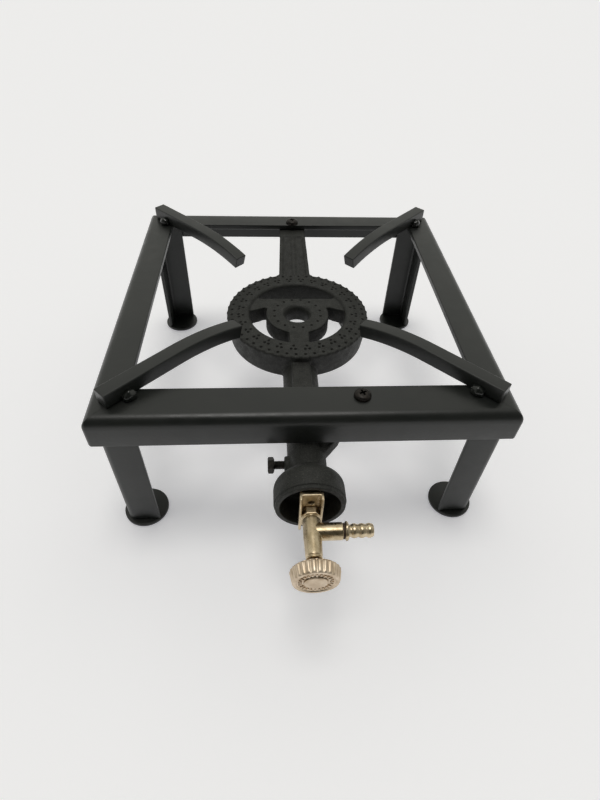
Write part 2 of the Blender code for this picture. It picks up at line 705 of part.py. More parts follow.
def valve_body():
    """A turned barrel with a hexagon against the strap and a boss on its right for the hose tail."""
    centre = (0, 0, AXIS_Z)
    hex_start = STRAP_WEB_FRONT + GAP
    body = turned(
        "valve_body",
        [
            (0, VALVE_BODY_END),
            (VALVE_TAIL_RADIUS, VALVE_BODY_END),
            (VALVE_TAIL_RADIUS, VALVE_BODY_END - 6 * MM),
            (VALVE_BODY_RADIUS, VALVE_BODY_END - 10 * MM),
            (VALVE_BODY_RADIUS, VALVE_BODY_START + 0.8 * MM),
            (VALVE_BODY_RADIUS - 0.8 * MM, VALVE_BODY_START),
            (4 * MM, VALVE_BODY_START),
            (4 * MM, hex_start + 2 * MM),
            (NOSE_RADIUS, hex_start + 2 * MM),
            (NOSE_RADIUS, NOSE_START),
            (0, NOSE_START),
        ],
        BRASS,
        centre,
        FORWARD,
        steps=28,
    )
    collar = hexagon(VALVE_HEX_FLATS, hex_start, VALVE_HEX_END)
    boss = rod(INLET_RADIUS, 0.5 * MM, INLET_END, 28)
    inlet = (0, -INLET_Y, AXIS_Z)
    join(body, add("valve_collar", collar, location=centre, rotation=FORWARD))
    join(body, add("inlet_boss", boss, location=inlet, rotation=RIGHTWARD))
    gas_way = turned(
        "valve_bore",
        [
            (0, VALVE_BODY_END + 5 * MM),
            (VALVE_BORE + 0.9 * MM, VALVE_BODY_END + 5 * MM),
            (VALVE_BORE + 0.9 * MM, O_RING_START - GAP),
            (VALVE_BORE, O_RING_START - GAP),
            (VALVE_BORE, SPINDLE_TIP + 1.6 * MM),
            (GAS_WAY, SPINDLE_TIP),
            (GAS_WAY, NOSE_START - 5 * MM),
            (0, NOSE_START - 5 * MM),
        ],
        location=centre,
        rotation=FORWARD,
        steps=20,
    )
    cut(body, gas_way)
    thread = rod(INLET_BORE, 4 * MM, INLET_END + 5 * MM, 24)
    feed = rod(GAS_WAY, 0.6 * MM, 8 * MM, 12)
    cut(body, add("inlet_thread", thread, location=inlet, rotation=RIGHTWARD))
    cut(body, add("inlet_feed", feed, location=inlet, rotation=RIGHTWARD))


def hose_tail():
    """The barbed tail for a soft hose, with its sealing washer against the inlet boss."""
    inlet = (0, -INLET_Y, AXIS_Z)
    washer_low = INLET_END + GAP
    washer_high = washer_low + BARB_WASHER_HEIGHT
    turned(
        "hose_tail_washer",
        [(INLET_BORE, washer_high), (INLET_RADIUS, washer_high), (INLET_RADIUS, washer_low), (INLET_BORE, washer_low)],
        FIBRE,
        inlet,
        RIGHTWARD,
        steps=24,
        ring=True,
    )
    collar_low = washer_high + GAP
    collar_high = collar_low + BARB_COLLAR_HEIGHT
    pitch = (BARB_END - collar_high - 1.5 * MM) / 3
    profile = [(BARB_BORE, BARB_END), (BARB_ROOT - 0.4 * MM, BARB_END)]
    for i in range(3):
        top = BARB_END - i * pitch
        profile += [(BARB_RADIUS, top - 0.55 * pitch), (BARB_ROOT, top - 0.7 * pitch)]
        profile += [(BARB_ROOT, top - pitch)]
    profile += [
        (BARB_ROOT, collar_high),
        (6.4 * MM, collar_high),
        (6.4 * MM, collar_low),
        (INLET_BORE - GAP, collar_low),
        (INLET_BORE - GAP, 9 * MM),
        (BARB_BORE, 9 * MM),
    ]
    turned("hose_tail", profile, BRASS, inlet, RIGHTWARD, steps=20, ring=True)


def spindle_group():
    """The needle spindle with its O-ring, gland nut, knob and knob screw, on the knob's turning axis."""
    centre = (0, 0, AXIS_Z)
    hand_axis = bpy.data.objects.new("knob_axis", None)
    hand_axis.parent = STAND
    hand_axis.location = (0, -KNOB_BACK, AXIS_Z)
    PARTS.objects.link(hand_axis)

    turned(
        "stem_o_ring",
        [
            (SPINDLE_RADIUS + GAP, O_RING_END),
            (VALVE_BORE + 0.9 * MM - GAP, O_RING_END),
            (VALVE_BORE + 0.9 * MM - GAP, O_RING_START),
            (SPINDLE_RADIUS + GAP, O_RING_START),
        ],
        NITRILE,
        centre,
        FORWARD,
        steps=20,
        ring=True,
    )
    gland_low, gland_high = VALVE_BODY_END + GAP, VALVE_BODY_END + 4 * MM
    gland = add("gland_nut", hexagon(8 * MM, gland_low, gland_high), BRASS, centre, FORWARD)
    sleeve = rod(VALVE_BORE + 0.9 * MM - GAP, O_RING_END + 1.8 * MM, gland_low + 1 * MM, 20)
    join(gland, add("gland_sleeve", sleeve, location=centre, rotation=FORWARD))
    bore = rod(SPINDLE_RADIUS + GAP, O_RING_END - 5 * MM, gland_high + 5 * MM, 20)
    cut(gland, add("gland_bore", bore, location=centre, rotation=FORWARD))

    moving = []
    tip = SPINDLE_TIP + 0.7 * MM
    moving.append(
        turned(
            "needle_spindle",
            [
                (0, KNOB_FRONT - 2 * MM),
                (SPINDLE_RADIUS, KNOB_FRONT - 2 * MM),
                (SPINDLE_RADIUS, tip + 6 * MM),
                (SPINDLE_RADIUS - 0.4 * MM, tip + 3.4 * MM),
                (0.5 * MM, tip),
                (0, tip),
            ],
            BRASS,
            rotation=FORWARD,
            steps=20,
        )
    )
    moving.append(fluted_knob())
    moving.append(
        turned(
            "knob_screw",
            [
                (0, KNOB_FRONT + KNOB_SCREW_RISE),
                (KNOB_SCREW_RADIUS - 0.8 * MM, KNOB_FRONT + KNOB_SCREW_RISE),
                (KNOB_SCREW_RADIUS, KNOB_FRONT + 0.4 * MM),
                (KNOB_SCREW_RADIUS, KNOB_FRONT - 0.6 * MM),
                (0, KNOB_FRONT - 0.6 * MM),
            ],
            NICKEL,
            rotation=FORWARD,
            steps=28,
        )
    )
    for piece in moving:
        piece.parent = hand_axis
        piece.location = (0, KNOB_BACK, 0)


def fluted_knob():
    """A domed knob with flutes round its rim, a ring groove in its face and a seat for the screw cap."""
    seat = KNOB_FRONT - 0.6 * MM - GAP
    knob = turned(
        "knob",
        [
            (0, seat),
            (KNOB_SCREW_RADIUS + GAP, seat),
            (KNOB_SCREW_RADIUS + GAP, KNOB_FRONT - 0.2 * MM),
            (KNOB_FACE_RADIUS - 3 * MM, KNOB_FRONT - 0.2 * MM),
            (KNOB_FACE_RADIUS - 2 * MM, KNOB_FRONT),
            (KNOB_FACE_RADIUS, KNOB_FRONT - 0.6 * MM),
            (KNOB_RADIUS, KNOB_BACK + 1.6 * MM),
            (KNOB_RADIUS - 0.6 * MM, KNOB_BACK),
            (0, KNOB_BACK),
        ],
        NICKEL,
        rotation=FORWARD,
        steps=48,
    )
    flutes = bmesh.new()
    for i in range(KNOB_FLUTES):
        spin = Matrix.Rotation(2 * math.pi * i / KNOB_FLUTES, 4, "Z")
        bmesh.ops.create_cone(
            flutes,
            cap_ends=True,
            segments=8,
            radius1=KNOB_FLUTE_RADIUS,
            radius2=KNOB_FLUTE_RADIUS,
            depth=20 * MM,
            matrix=spin @ Matrix.Translation((KNOB_RADIUS + 0.3 * MM, 0, (KNOB_BACK + KNOB_FRONT) / 2)),
        )
    bore = rod(SPINDLE_RADIUS + GAP, KNOB_BACK - 5 * MM, KNOB_FRONT - 2 * MM + GAP, 20)
    tools = [add("knob_flutes", flutes, rotation=FORWARD), add("knob_bore", bore, rotation=FORWARD)]
    for tool in tools:
        tool.location = (0, 0, AXIS_Z)
    cut(knob, *tools)
    return knob


frame_rails()
drill_rails()
legs_and_feet()
pot_supports()
burner_casting()
frame_screw("front", FRONT_SCREW_X, -SCREW_Y, ARM_TOP - ARM_THICKNESS)
frame_screw("rear", 0, SCREW_Y, ARM_TOP - ARM_THICKNESS)
clamp_bolt()
valve_yoke()
gas_jet()
valve_body()
hose_tail()
spindle_group()
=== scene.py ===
"""Looks of the propane burner stand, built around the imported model.

Metres, +Z up, in the same frame as the CAD. Every visible node gets a finer mesh that stands for it
and rides on its body. Pieces are drawn from the centre of the square frame, as the CAD's are.
"""

import json
import math

import bmesh
import bpy
from mathutils import Matrix, Vector, noise


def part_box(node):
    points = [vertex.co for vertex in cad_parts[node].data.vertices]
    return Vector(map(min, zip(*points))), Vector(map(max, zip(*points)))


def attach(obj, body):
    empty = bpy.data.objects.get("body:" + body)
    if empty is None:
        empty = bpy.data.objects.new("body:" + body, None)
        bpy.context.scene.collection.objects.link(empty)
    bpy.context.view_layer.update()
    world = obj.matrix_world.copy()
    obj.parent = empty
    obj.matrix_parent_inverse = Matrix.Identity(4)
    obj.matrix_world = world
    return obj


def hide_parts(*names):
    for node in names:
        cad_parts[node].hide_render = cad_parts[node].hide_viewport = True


MM = 0.001
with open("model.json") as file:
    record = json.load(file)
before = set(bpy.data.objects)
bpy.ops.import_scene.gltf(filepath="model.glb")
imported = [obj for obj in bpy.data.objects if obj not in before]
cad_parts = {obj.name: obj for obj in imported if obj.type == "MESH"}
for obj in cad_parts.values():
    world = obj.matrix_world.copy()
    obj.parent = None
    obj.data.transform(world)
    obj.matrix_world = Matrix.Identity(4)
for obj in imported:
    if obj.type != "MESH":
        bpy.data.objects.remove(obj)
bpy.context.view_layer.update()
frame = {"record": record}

# ---------------------------------------------------------------- places, from the CAD's boxes

front_rail, back_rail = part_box("front_rail"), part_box("back_rail")
left_rail, right_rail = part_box("left_rail"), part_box("right_rail")
HALF = (right_rail[1].x - left_rail[0].x) / 2
CENTRE_Y = (front_rail[0].y + back_rail[1].y) / 2
RAIL_TOP = front_rail[1].z
RAIL_DROP = RAIL_TOP - front_rail[0].z
FRONT_FLANGE = front_rail[1].y - front_rail[0].y
SIDE_FLANGE = right_rail[1].x - right_rail[0].x
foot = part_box("back_right_foot")
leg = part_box("back_right_leg")
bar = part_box("back_right_pot_support")
knob_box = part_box("knob")
tail_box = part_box("hose_tail")
AXIS_Z = (knob_box[0].z + knob_box[1].z) / 2

# ---------------------------------------------------------------- sizes that no box gives

GAP = 0.3 * MM
RAIL_WALL = 5 * MM
RAIL_BEND = 8 * MM
CORNER_RADIUS = 3 * MM
LEG_WALL = 3 * MM
LEG_BEND = 5 * MM
BAR = 11 * MM
BAR_BEND_START = 128 * MM
BAR_BEND_RADIUS = 200 * MM
BAR_CENTRE_Y = 3.3 * MM
BEAD_DISTANCE = 172 * MM

BURNER_Y = -2.6 * MM
RING_TOP = 107.3 * MM
RING_LOW = 84.3 * MM
RING_OUTER = 60.8 * MM
RING_OUTER_LOW = 58.3 * MM
RING_INNER = 41.5 * MM
HUB_TOP = RING_TOP - 1.4 * MM
HUB_LOW = HUB_TOP - 14.5 * MM
HUB_RADIUS = 27.2 * MM
HUB_REAR = 22.3 * MM
HUB_HOLE = 10.6 * MM
EAR_FRONT = 8.7 * MM
BRIDGE_WIDTH = 16.5 * MM
PORT_RADIUS = 1.2 * MM
PORT_ROWS = ((56.6, 48, (0,)), (50.8, 28, (-2, 2)), (47.2, 28, (0,)), (20.3, 16, (0,)))

TUBE_RADIUS = 13.4 * MM
TUBE_ROOT_RADIUS = 14 * MM
TUBE_BORE = 9.5 * MM
TUBE_START = 43 * MM
BELL_START = 160 * MM
BELL_MOUTH = 186 * MM
BELL_RADIUS = 23.6 * MM
BELL_LIP_RADIUS = 22.4 * MM
BELL_BORE = 19.8 * MM
THROAT_START = 161 * MM
THROAT_END = 171.5 * MM
ARM_TOP = RAIL_TOP - RAIL_WALL - GAP
ARM_THICKNESS = 6 * MM
SCREW_Y = 124.5 * MM
FRONT_SCREW_X = 37.5 * MM
CLAMP_Y = 151.5 * MM
INLET_Y = 203 * MM
M6_RADIUS = 3 * MM
PAN_HEAD_RADIUS = 6 * MM
PAN_HEAD_HEIGHT = 3.6 * MM
DIAL_TICKS = 24
KNOB_FLUTES = 26

FORWARD = (math.pi / 2, 0, 0)
LEFTWARD = (0, -math.pi / 2, 0)
RIGHTWARD = (0, math.pi / 2, 0)
UPRIGHT = (0, 0, 0)
CORNERS = ("front_left", "front_right", "back_right", "back_left")

# ---------------------------------------------------------------- materials


def node(tree, kind, inputs=(), **settings):
    """A shader node with its settings, and with each input set to a value or joined to a socket."""
    made = tree.nodes.new(f"ShaderNode{kind}")
    for key, value in settings.items():
        setattr(made, key, value)
    for key, value in dict(inputs).items():
        if isinstance(value, bpy.types.NodeSocket):
            tree.links.new(value, made.inputs[key])
        else:
            made.inputs[key].default_value = value
    return made


def grain(tree, where, size, detail=4.0, roughness=0.55):
    """Noise whose lumps are about this size."""
    inputs = {"Vector": where, "Scale": 1 / size, "Detail": detail, "Roughness": roughness}
    return node(tree, "TexNoise", inputs).outputs["Fac"]


def ramp(tree, value, *stops):
    """A colour ramp, with each stop a place and a colour or a grey."""
    made = node(tree, "ValToRGB", {"Fac": value})
    elements = made.color_ramp.elements
    while len(elements) < len(stops):
        elements.new(1)
    for element, (place, colour) in zip(elements, stops):
        element.position = place
        rgb = (colour,) * 3 if isinstance(colour, (int, float)) else colour
        element.color = (*rgb, 1)
    return made.outputs["Color"]


def bump(tree, height, distance, strength, under=None):
    inputs = {"Height": height, "Distance": distance, "Strength": strength}
    if under is not None:
        inputs["Normal"] = under
    return node(tree, "Bump", inputs).outputs["Normal"]


def new_material(name, metallic, **sockets):
    """A material, its tree, its Principled shader and the object's own coordinates."""
    material = bpy.data.materials.new(name)
    material.use_nodes = True
    tree = material.node_tree
    shader = tree.nodes["Principled BSDF"]
    shader.inputs["Metallic"].default_value = metallic
    for key, value in sockets.items():
        shader.inputs[key.replace("_", " ")].default_value = value
    where = node(tree, "TexCoord").outputs["Object"]
    return material, tree, shader, where


def finish_shader(tree, shader, colour, roughness, normal):
    tree.links.new(colour, shader.inputs["Base Color"])
    tree.links.new(roughness, shader.inputs["Roughness"])
    tree.links.new(normal, shader.inputs["Normal"])


def paint(name, gloss=0.0):
    """Satin black stoving paint: soft orange peel, fine dust nibs and a faint uneven bloom."""
    material, tree, shader, where = new_material(name, 0.0, Specular_IOR_Level=0.5)
    bloom = grain(tree, where, 45 * MM, 5)
    peel = grain(tree, where, 1.6 * MM, 2)
    nibs = node(tree, "TexVoronoi", {"Vector": where, "Scale": 1 / (5 * MM)}).outputs["Distance"]
    nibs = ramp(tree, nibs, (0.0, 1.0), (0.05, 0.0))
    colour = ramp(tree, bloom, (0.3, (0.0085, 0.0105, 0.0095)), (0.7, (0.013, 0.0145, 0.0125)))
    roughness = ramp(tree, grain(tree, where, 12 * MM, 6), (0.3, 0.3 - gloss), (0.75, 0.42 - gloss))
    normal = bump(tree, peel, 0.12 * MM, 0.35)
    normal = bump(tree, nibs, 0.05 * MM, 0.25, normal)
    finish_shader(tree, shader, colour, roughness, normal)
    return material


def cast_iron(name):
    """Sand-cast iron under thin black paint: coarse grain, small pits and dry grey high spots."""
    material, tree, shader, where = new_material(name, 0.0, Specular_IOR_Level=0.4)
    sand = grain(tree, where, 0.9 * MM, 6, 0.7)
    lumps = grain(tree, where, 6 * MM, 3)
    pits = node(tree, "TexVoronoi", {"Vector": where, "Scale": 1 / (1.7 * MM)}).outputs["Distance"]
    pits = ramp(tree, pits, (0.0, 0.0), (0.28, 1.0))
    dark, middle, dry = (0.008, 0.0085, 0.0075), (0.02, 0.021, 0.018), (0.075, 0.075, 0.066)
    colour = ramp(tree, sand, (0.35, dark), (0.55, middle), (0.78, dry))
    roughness = ramp(tree, lumps, (0.3, 0.5), (0.7, 0.72))
    normal = bump(tree, lumps, 0.6 * MM, 0.3)
    normal = bump(tree, pits, 0.2 * MM, 0.35, normal)
    normal = bump(tree, sand, 0.35 * MM, 0.7, normal)
    finish_shader(tree, shader, colour, roughness, normal)
    return material


def brass(name, bright, dull, rough=0.24, lathe=0.5):
    """Turned brass: tool marks round the local Z axis, a little tarnish and worn bright patches."""
    material, tree, shader, where = new_material(name, 1.0)
    tarnish = grain(tree, where, 7 * MM, 6)
    colour = ramp(tree, tarnish, (0.32, dull), (0.62, bright))
    roughness = ramp(tree, grain(tree, where, 2.5 * MM, 5), (0.3, rough), (0.75, rough + 0.16))
    marks = {"Vector": where, "Scale": 1 / (2.4 * MM), "Distortion": 0.4, "Detail": 2.0}
    marks = node(tree, "TexWave", marks, bands_direction="Z").outputs["Fac"]
    normal = bump(tree, marks, 0.03 * MM, lathe)
    normal = bump(tree, grain(tree, where, 0.5 * MM, 4), 0.04 * MM, 0.4, normal)
    finish_shader(tree, shader, colour, roughness, normal)
    return material


def steel(name):
    """Blackened fastener steel with a worn, oily sheen."""
    material, tree, shader, where = new_material(name, 0.75)
    blotch = grain(tree, where, 2.2 * MM, 5)
    colour = ramp(tree, blotch, (0.35, (0.012, 0.011, 0.01)), (0.7, (0.04, 0.034, 0.029)))
    roughness = ramp(tree, grain(tree, where, 1.1 * MM, 4), (0.3, 0.32), (0.7, 0.5))
    normal = bump(tree, grain(tree, where, 0.4 * MM, 3), 0.05 * MM, 0.5)
    finish_shader(tree, shader, colour, roughness, normal)
    return material


def plain_soft(name, colour, lift):
    """Rubber or fibre: matt, with fine moulded grain."""
    material, tree, shader, where = new_material(name, 0.0)
    lighter = tuple(min(c * lift + 0.01, 1) for c in colour)
    mottled = ramp(tree, grain(tree, where, 1.2 * MM, 4), (0.3, colour), (0.7, lighter))
    roughness = ramp(tree, grain(tree, where, 0.8 * MM, 3), (0.3, 0.55), (0.7, 0.75))
    normal = bump(tree, grain(tree, where, 0.35 * MM, 4), 0.05 * MM, 0.5)
    finish_shader(tree, shader, mottled, roughness, normal)
    return material


PAINT = paint("black_paint")
BEAD_PAINT = paint("weld_paint", gloss=0.16)
IRON = cast_iron("cast_iron")
BRASS = brass("brass", (0.7, 0.58, 0.4), (0.42, 0.33, 0.2))
NICKEL = brass("nickel_brass", (0.74, 0.62, 0.48), (0.54, 0.42, 0.29), rough=0.34, lathe=0.15)
STEEL = steel("black_steel")
FIBRE = plain_soft("pressed_fibre", (0.05, 0.03, 0.018), 1.8)
RUBBER = plain_soft("nitrile_rubber", (0.015, 0.015, 0.016), 1.6)

# ---------------------------------------------------------------- mesh helpers


def box(low, high):
    mesh = bmesh.new()
    low, high = Vector(low), Vector(high)
    size = Matrix.Diagonal((*(high - low), 1))
    bmesh.ops.create_cube(mesh, size=1, matrix=Matrix.Translation((low + high) / 2) @ size)
    return mesh


def arc(centre, radius, start, end, steps):
    """Points of an arc, with its angles in degrees."""
    angles = [math.radians(start + (end - start) * i / steps) for i in range(steps + 1)]
    return [(centre[0] + radius * math.cos(a), centre[1] + radius * math.sin(a)) for a in angles]


def filleted(points, radius, closed=True, steps=4):
    """An outline with its corners rounded, and less where the sides beside a corner are short."""
    made = []
    count = len(points)
    for i, corner in enumerate(points):
        if not closed and i in (0, count - 1):
            made.append(corner)
            continue
        corner = Vector(corner)
        back, ahead = Vector(points[i - 1]) - corner, Vector(points[(i + 1) % count]) - corner
        angle = back.angle(ahead)
        if angle > math.radians(165):
            made.append(tuple(corner))
            continue
        reach = min(radius / math.tan(angle / 2), 0.45 * back.length, 0.45 * ahead.length)
        start, end = corner + back.normalized() * reach, corner + ahead.normalized() * reach
        for k in range(steps + 1):
            t = k / steps
            made.append(tuple(start * (1 - t) ** 2 + corner * (2 * t * (1 - t)) + end * t**2))
    return made


def extruded(outline, low, high):
    """A prism of the XY outline between two heights."""
    mesh = bmesh.new()
    face = mesh.faces.new([mesh.verts.new((x, y, low)) for x, y in outline])
    grown = bmesh.ops.extrude_face_region(mesh, geom=[face])
    raised = [item for item in grown["geom"] if isinstance(item, bmesh.types.BMVert)]
    bmesh.ops.translate(mesh, verts=raised, vec=(0, 0, high - low))
    return mesh


def lofted(rings, closed_ends=True, closed_loop=False):
    """Joins rings of points, all of one length, into a surface."""
    mesh = bmesh.new()
    rows = [[mesh.verts.new(point) for point in ring] for ring in rings]
    pairs = list(zip(rows, rows[1:])) + ([(rows[-1], rows[0])] if closed_loop else [])
    for lower, upper in pairs:
        for i in range(len(lower)):
            j = (i + 1) % len(lower)
            mesh.faces.new((lower[i], lower[j], upper[j], upper[i]))
    if closed_ends and not closed_loop:
        mesh.faces.new(rows[0][::-1])
        mesh.faces.new(rows[-1])
    return mesh


def turned(profile, segments=96, ring=False, shape=None):
    """Turns a profile of (radius, height) round Z. shape may move each point's radius by its angle."""
    rings = []
    for index, (radius, height) in enumerate(profile):
        ring_points = []
        for i in range(segments):
            angle = 2 * math.pi * i / segments
            r = shape(index, radius, height, angle) if shape else radius
            ring_points.append((max(r, 0) * math.cos(angle), max(r, 0) * math.sin(angle), height))
        rings.append(ring_points)
    mesh = lofted(rings, closed_loop=ring)
    bmesh.ops.remove_doubles(mesh, verts=mesh.verts, dist=0.001 * MM)
    return mesh


def rod(radius, low, high, segments=48, top_radius=None, edge=0.0):
    """A round bar along Z, with rounded ends if edge is given."""
    top_radius = radius if top_radius is None else top_radius
    profile = [(0, low), (radius, low), (top_radius, high), (0, high)]
    return turned(filleted(profile, edge, closed=False) if edge else profile, segments)


def threaded(radius, low, high, pitch=1 * MM, segments=32):
    """A screw thread along Z that fades out at both ends."""
    depth = 0.3 * MM
    steps = max(int((high - low) / pitch * 8), 8)
    profile = [(radius, low + (high - low) * i / steps) for i in range(steps + 1)]

    def ridge(index, r, height, angle):
        phase = (height / pitch - angle / (2 * math.pi)) % 1
        fade = min(height - low, high - height, pitch) / pitch
        return r - depth * abs(2 * phase - 1) * max(fade, 0)

    return turned(profile, segments, shape=ridge)


def merged(*meshes):
    """Several meshes in one, still as separate shells."""
    whole = bmesh.new()
    for mesh in meshes:
        data = bpy.data.meshes.new("part")
        mesh.to_mesh(data)
        mesh.free()
        whole.from_mesh(data)
        bpy.data.meshes.remove(data)
    return whole


def hull(*bodies):
    mesh = bmesh.new()
    for body in bodies:
        for vert in body.verts:
            mesh.verts.new(vert.co)
        body.free()
    bmesh.ops.convex_hull(mesh, input=mesh.verts)
    return mesh


def made_object(name, mesh):
    bmesh.ops.recalc_face_normals(mesh, faces=mesh.faces)
    data = bpy.data.meshes.new(name)
    mesh.to_mesh(data)
    mesh.free()
    data.shade_smooth()
    made = bpy.data.objects.new(name, data)
    bpy.context.scene.collection.objects.link(made)
    return made


def baked(target, *tools):
    """Applies an object's modifiers to its mesh, and removes the objects that its Booleans used."""
    bpy.context.view_layer.update()
    evaluated = target.evaluated_get(bpy.context.evaluated_depsgraph_get())
    data = bpy.data.meshes.new_from_object(evaluated)
    target.modifiers.clear()
    target.data = data
    for tool in tools:
        bpy.data.objects.remove(tool)
    return target


def boolean(target, mesh, operation, solver="MANIFOLD"):
    """Joins a bmesh to an object, or cuts it away."""
    tool = made_object("tool", mesh)
    modifier = target.modifiers.new(operation.title(), "BOOLEAN")
    modifier.operation, modifier.solver, modifier.object = operation, solver, tool
    return baked(target, tool)


def moved(mesh, location=(0, 0, 0), rotation=(0, 0, 0)):
    turn = Matrix.Rotation(rotation[2], 4, "Z") @ Matrix.Rotation(rotation[1], 4, "Y")
    turn = turn @ Matrix.Rotation(rotation[0], 4, "X")
    bmesh.ops.transform(mesh, matrix=Matrix.Translation(location) @ turn, verts=mesh.verts)
    return mesh


def remeshed(target, voxel, smoothing):
    """Melts overlapping shells into one skin with soft fillets."""
    remesh = target.modifiers.new("Skin", "REMESH")
    remesh.mode, remesh.voxel_size, remesh.use_smooth_shade = "VOXEL", voxel, True
    smooth = target.modifiers.new("Fillets", "SMOOTH")
    smooth.factor, smooth.iterations = 0.5, smoothing
    return baked(target)


def soften(target, width, segments=3, angle=35):
    """Rounds the sharp edges."""
    modifier = target.modifiers.new("Edges", "BEVEL")
    modifier.width, modifier.segments = width, segments
    modifier.limit_method, modifier.angle_limit = "ANGLE", math.radians(angle)
    modifier.harden_normals = True
    return target


BODIES = frame["record"]["behaviour"]["bodies"]
BODY_OF = {name: body for body, names in BODIES.items() for name in names}


def stand_in(node_name, mesh_or_object, material, location=(0, 0, 0), rotation=UPRIGHT, edge=0.0):
    """Puts a finer piece in place of a CAD node, and makes it ride on that node's body."""
    piece = mesh_or_object
    if isinstance(piece, bmesh.types.BMesh):
        piece = made_object(f"{node_name}_skin", piece)
    piece.name = f"{node_name}_skin"
    piece.data.materials.clear()
    piece.data.materials.append(material)
    piece.location = Vector(location) + Vector((0, CENTRE_Y, 0))
    piece.rotation_euler = rotation
    if edge:
        soften(piece, edge)
    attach(piece, BODY_OF[node_name])
    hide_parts(node_name)
    return piece


def extra(piece, node_name, material, location=(0, 0, 0), rotation=UPRIGHT):
    """A further piece of a node, which rides with it."""
    piece.data.materials.append(material)
    piece.location = Vector(location) + Vector((0, CENTRE_Y, 0))
    piece.rotation_euler = rotation
    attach(piece, BODY_OF[node_name])


# ---------------------------------------------------------------- frame, legs and feet


def angle_outline(flange, drop, wall, bend):
    """An L with its heel at the origin: one flange along +X, the other along -Y."""
    inner = max(bend - wall, 0.8 * MM)
    toe = 0.9 * MM
    points = [*arc((flange - toe, -toe), toe, 0, 90, 3), *arc((bend, -bend), bend, 90, 180, 12)]
    points += arc((toe, -drop + toe), toe, 180, 270, 3)
    points += arc((wall - toe, -drop + toe), toe, 270, 360, 3)
    points += arc((wall + inner, -wall - inner), inner, 180, 90, 6)
    points += arc((flange - toe, -wall + toe), toe, 270, 360, 3)[:-1]
    return points


def rail_mesh(flange):
    """One rail with mitred ends, its outside carried round the frame's rounded corners."""
    section = angle_outline(flange, RAIL_DROP, RAIL_WALL, RAIL_BEND)
    seam = 0.14 * MM
    bends = 6

    def ring(side, k):
        points = []
        angle = math.radians(45 * k / bends)
        for inward, up in section:
            spare = CORNER_RADIUS - inward
            if spare > 0:
                x = HALF - CORNER_RADIUS + spare * math.sin(angle)
                y = HALF - CORNER_RADIUS + spare * math.cos(angle)
            else:
                x = y = HALF - inward
            points.append((side * (x - seam * k / bends), -y, RAIL_TOP + up))
        return points

    left = [ring(-1, k) for k in range(bends, -1, -1)]
    right = [ring(1, k) for k in range(bends + 1)]
    mesh = lofted([*left, *right])
    bmesh.ops.remove_doubles(mesh, verts=mesh.verts, dist=0.001 * MM)
    return mesh


def make_frame():
    for i, name in enumerate(("front_rail", "right_rail", "back_rail", "left_rail")):
        flange = FRONT_FLANGE if name == "front_rail" else SIDE_FLANGE
        stand_in(name, rail_mesh(flange), PAINT, rotation=(0, 0, i * math.pi / 2), edge=0.25 * MM)


def make_legs():
    outer = leg[1].x
    flange = outer - leg[0].x
    outline = angle_outline(flange, flange, LEG_WALL, LEG_BEND)
    outline = [(x, -y) for x, y in outline][::-1]
    offset = (foot[0].x + foot[1].x) / 2
    radius, height = (foot[1].x - foot[0].x) / 2, foot[1].z
    disc = filleted([(0, 0), (radius, 0), (radius, height), (0, height)], 0.9 * MM, closed=False)
    for i, corner in enumerate(CORNERS):
        turn = Matrix.Rotation(i * math.pi / 2, 3, "Z")
        spin = (0, 0, i * math.pi / 2)
        mesh = extruded(outline, leg[0].z, leg[1].z)
        stand_in(f"{corner}_leg", mesh, PAINT, turn @ Vector((-outer, -outer, 0)), spin, 0.4 * MM)
        stand_in(f"{corner}_foot", turned(disc, 96), PAINT, turn @ Vector((-offset, -offset, 0)), spin)


# ---------------------------------------------------------------- pot supports


def bar_mesh():
    """A square bar swept along its bend, with rounded edges. X is the way out along the diagonal."""
    half = BAR / 2
    outer = bar[1].x * math.sqrt(2) - half
    inner = bar[0].x * math.sqrt(2) + half
    section = filleted([(-half, -half), (half, -half), (half, half), (-half, half)], 1.0 * MM)
    run = math.degrees(math.asin((BAR_BEND_START - inner) / BAR_BEND_RADIUS))
    stations = [(outer + (BAR_BEND_START - outer) * i / 6, 0.0) for i in range(7)]
    stations += [(None, run * i / 16) for i in range(1, 17)]
    rings = []
    for distance, tilt in stations:
        angle = math.radians(tilt)
        if distance is None:
            radius = BAR_BEND_RADIUS - half
            distance = BAR_BEND_START - radius * math.sin(angle)
            height = half - radius * (1 - math.cos(angle))
        else:
            height = half
        rings.append(
            [(distance - v * math.sin(angle), u, height + v * math.cos(angle)) for u, v in section]
        )
    return lofted(rings)


def bead_mesh(seed):
    """A lump of weld with the ripples that a short run leaves."""
    mesh = bmesh.new()
    along, across, up = 5.2, 4.2, 4.6  # half sizes in millimetres
    bmesh.ops.create_uvsphere(mesh, u_segments=32, v_segments=20, radius=1)
    for vert in mesh.verts:
        lump = 1 + 0.08 * noise.noise(vert.co * 1.7 + Vector((seed, 0, 0)))
        ripple = 1 + 0.025 * math.cos(9 * vert.co.x)
        swollen = Vector((vert.co.x * along, vert.co.y * across, vert.co.z * up))
        vert.co = swollen * MM * lump * ripple
    return mesh


